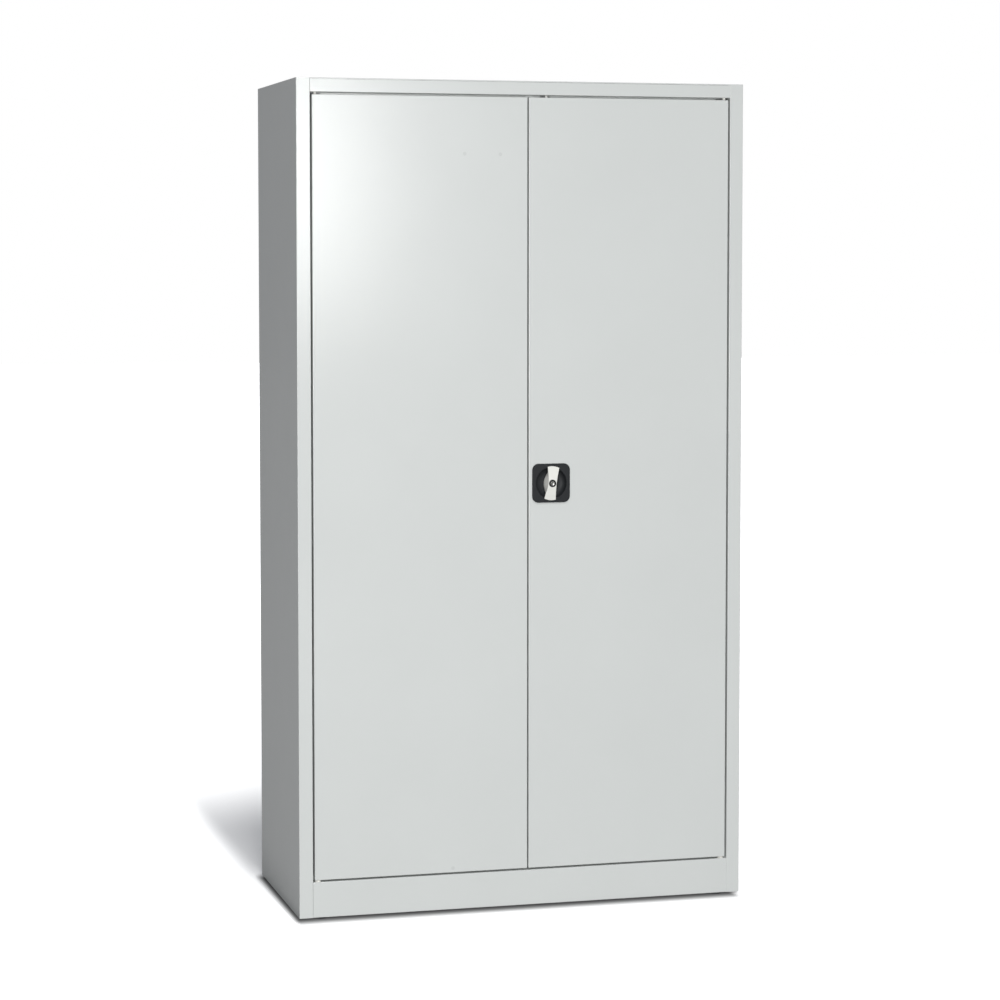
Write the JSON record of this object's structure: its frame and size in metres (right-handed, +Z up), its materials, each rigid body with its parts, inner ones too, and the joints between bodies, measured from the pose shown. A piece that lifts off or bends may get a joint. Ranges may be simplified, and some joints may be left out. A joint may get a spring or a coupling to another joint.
{
  "type": "workshop cabinet",
  "caption": "Tall sheet steel cabinet with hinged double doors, a turning lock handle that drives rods and a tongue, and shelves on slotted uprights.",
  "frame": {"origin": "centre of the body's footprint, on the floor it stands on", "axes": "+Z up; -Y is the side with the doors; +X to the right as seen from in front of the doors"},
  "size_m": [1, 0.465, 1.8],
  "materials": {
    "back_panel": "light grey powder coat, semi-gloss",
    "drive_pinion": "bright zinc plated",
    "floor_panel": "light grey powder coat, semi-gloss",
    "front_left_glide": "charcoal moulded plastic, fine grain",
    "front_left_upright": "bright zinc plated",
    "front_plinth": "light grey powder coat, semi-gloss",
    "front_right_glide": "charcoal moulded plastic, fine grain",
    "front_right_upright": "bright zinc plated",
    "handle_escutcheon": "charcoal moulded plastic, fine grain",
    "handle_grip": "off-white moulded plastic",
    "handle_spindle": "bright zinc plated",
    "latch_tongue": "bright zinc plated",
    "left_case_screw": "bright zinc plated",
    "left_door_buffer": "black rubber",
    "left_door_shell": "light grey powder coat, semi-gloss",
    "left_door_stiffener": "light grey powder coat, semi-gloss",
    "left_lower_hinge_pin": "bright zinc plated",
    "left_side_panel": "light grey powder coat, semi-gloss",
    "left_upper_hinge_pin": "bright zinc plated",
    "lock_barrel": "black lacquered zinc",
    "lock_case": "bright zinc plated",
    "lock_core": "bright zinc plated",
    "lower_left_hinge_bush": "off-white moulded plastic",
    "lower_rack": "bright zinc plated",
    "lower_right_hinge_bush": "off-white moulded plastic",
    "lower_rod": "bright zinc plated",
    "lower_rod_guide": "off-white moulded plastic",
    "rear_base_rail": "light grey powder coat, semi-gloss",
    "rear_left_glide": "charcoal moulded plastic, fine grain",
    "rear_left_upright": "bright zinc plated",
    "rear_right_glide": "charcoal moulded plastic, fine grain",
    "rear_right_upright": "bright zinc plated",
    "right_case_screw": "bright zinc plated",
    "right_door_buffer": "black rubber",
    "right_door_shell": "light grey powder coat, semi-gloss",
    "right_door_stiffener": "light grey powder coat, semi-gloss",
    "right_lower_hinge_pin": "bright zinc plated",
    "right_side_panel": "light grey powder coat, semi-gloss",
    "right_upper_hinge_pin": "bright zinc plated",
    "shelf_1": "light grey powder coat, semi-gloss",
    "shelf_1_left_bearer": "bright zinc plated",
    "shelf_1_right_bearer": "bright zinc plated",
    "shelf_2": "light grey powder coat, semi-gloss",
    "shelf_2_left_bearer": "bright zinc plated",
    "shelf_2_right_bearer": "bright zinc plated",
    "shelf_3": "light grey powder coat, semi-gloss",
    "shelf_3_left_bearer": "bright zinc plated",
    "shelf_3_right_bearer": "bright zinc plated",
    "shelf_4": "light grey powder coat, semi-gloss",
    "shelf_4_left_bearer": "bright zinc plated",
    "shelf_4_right_bearer": "bright zinc plated",
    "spindle_bush": "off-white moulded plastic",
    "spindle_screw": "bright zinc plated",
    "tongue_strike": "bright zinc plated",
    "top_panel": "light grey powder coat, semi-gloss",
    "upper_left_hinge_bush": "off-white moulded plastic",
    "upper_rack": "bright zinc plated",
    "upper_right_hinge_bush": "off-white moulded plastic",
    "upper_rod": "bright zinc plated",
    "upper_rod_guide": "off-white moulded plastic"
  },
  "bodies": {
    "carcass": {"back_panel": "back_panel", "floor_panel": "floor_panel", "front_left_glide": "front_left_glide", "front_left_upright": "front_left_upright", "front_plinth": "front_plinth", "front_right_glide": "front_right_glide", "front_right_upright": "front_right_upright", "left_door_buffer": "left_door_buffer", "left_side_panel": "left_side_panel", "lower_left_hinge_bush": "lower_left_hinge_bush", "lower_right_hinge_bush": "lower_right_hinge_bush", "rear_base_rail": "rear_base_rail", "rear_left_glide": "rear_left_glide", "rear_left_upright": "rear_left_upright", "rear_right_glide": "rear_right_glide", "rear_right_upright": "rear_right_upright", "right_door_buffer": "right_door_buffer", "right_side_panel": "right_side_panel", "shelf_1": "shelf_1", "shelf_1_left_bearer": "shelf_1_left_bearer", "shelf_1_right_bearer": "shelf_1_right_bearer", "shelf_2": "shelf_2", "shelf_2_left_bearer": "shelf_2_left_bearer", "shelf_2_right_bearer": "shelf_2_right_bearer", "shelf_3": "shelf_3", "shelf_3_left_bearer": "shelf_3_left_bearer", "shelf_3_right_bearer": "shelf_3_right_bearer", "shelf_4": "shelf_4", "shelf_4_left_bearer": "shelf_4_left_bearer", "shelf_4_right_bearer": "shelf_4_right_bearer", "top_panel": "top_panel", "upper_left_hinge_bush": "upper_left_hinge_bush", "upper_right_hinge_bush": "upper_right_hinge_bush"},
    "left_door": {"left_door_shell": "left_door_shell", "left_door_stiffener": "left_door_stiffener", "left_upper_hinge_pin": "left_upper_hinge_pin", "left_lower_hinge_pin": "left_lower_hinge_pin", "tongue_strike": "tongue_strike"},
    "right_door": {"right_door_shell": "right_door_shell", "right_door_stiffener": "right_door_stiffener", "right_upper_hinge_pin": "right_upper_hinge_pin", "right_lower_hinge_pin": "right_lower_hinge_pin", "handle_escutcheon": "handle_escutcheon", "lock_case": "lock_case", "left_case_screw": "left_case_screw", "right_case_screw": "right_case_screw", "spindle_bush": "spindle_bush", "upper_rod_guide": "upper_rod_guide", "lower_rod_guide": "lower_rod_guide"},
    "handle": {"handle_grip": "handle_grip", "lock_barrel": "lock_barrel", "handle_spindle": "handle_spindle", "drive_pinion": "drive_pinion", "latch_tongue": "latch_tongue", "spindle_screw": "spindle_screw"},
    "lock_core": {"lock_core": "lock_core"},
    "upper_rod": {"upper_rod": "upper_rod", "upper_rack": "upper_rack"},
    "lower_rod": {"lower_rod": "lower_rod", "lower_rack": "lower_rack"}
  },
  "joints": [
    {"name": "left_door_hinge", "type": "hinge", "parent": "carcass", "child": "left_door", "pos_m": [-0.458, -0.217, 0.9245], "axis": [0, 0, -1], "range_deg": [0, 110]},
    {"name": "right_door_hinge", "type": "hinge", "parent": "carcass", "child": "right_door", "pos_m": [0.458, -0.217, 0.9245], "axis": [0, 0, 1], "range_deg": [0, 110]},
    {"name": "handle_turn", "type": "hinge", "parent": "right_door", "child": "handle", "pos_m": [0.0605, -0.225, 0.93], "axis": [0, 1, 0], "range_deg": [0, 90]},
    {"name": "key_turn", "type": "hinge", "parent": "handle", "child": "lock_core", "pos_m": [0.0605, -0.2395, 0.93], "axis": [0, 1, 0], "range_deg": [0, 90]},
    {"name": "upper_rod_slide", "type": "slide", "parent": "right_door", "child": "upper_rod", "axis": [0, 0, 1], "range_m": [0, 0.01413]},
    {"name": "lower_rod_slide", "type": "slide", "parent": "right_door", "child": "lower_rod", "axis": [0, 0, -1], "range_m": [0, 0.0143]}
  ],
  "couplings": [
    {"joint": "handle_turn", "follows": "upper_rod_slide", "rad_per_m": 111.11},
    {"joint": "lower_rod_slide", "follows": "upper_rod_slide", "ratio": 1}
  ]
}
